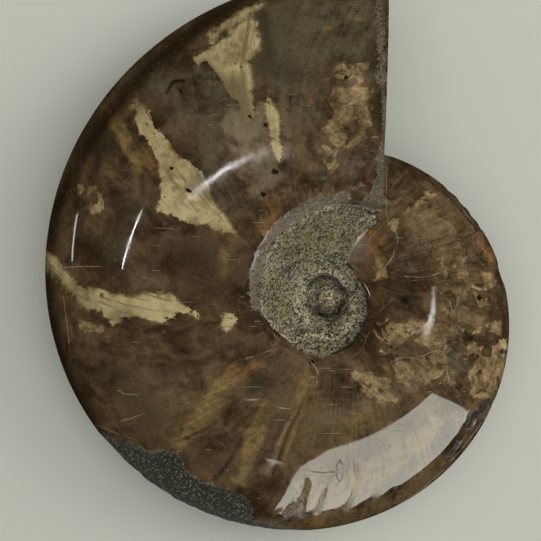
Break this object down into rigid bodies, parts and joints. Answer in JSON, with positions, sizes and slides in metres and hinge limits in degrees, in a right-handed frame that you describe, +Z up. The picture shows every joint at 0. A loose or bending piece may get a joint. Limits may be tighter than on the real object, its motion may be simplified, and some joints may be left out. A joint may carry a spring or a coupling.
{
  "type": "fossil ammonite",
  "caption": "Polished fossil ammonite: a flattened spiral shell turned to stone, sawn flat at its open end, with sandstone in its navel, lying on one flank.",
  "frame": {"origin": "centre of the bounding box, at the surface that the fossil lies on", "axes": "+Z up, out of the flank that faces up; +Y along the longest extent, towards the sawn end's keel; +X towards the side that the sawn end faces"},
  "size_m": [0.125, 0.149, 0.0441],
  "materials": {
    "fossil_shell": "polished brown and cream calcite, with grey-green sandstone in the navel"
  },
  "bodies": {
    "root": {"ammonite": "fossil_shell"}
  },
  "joints": []
}
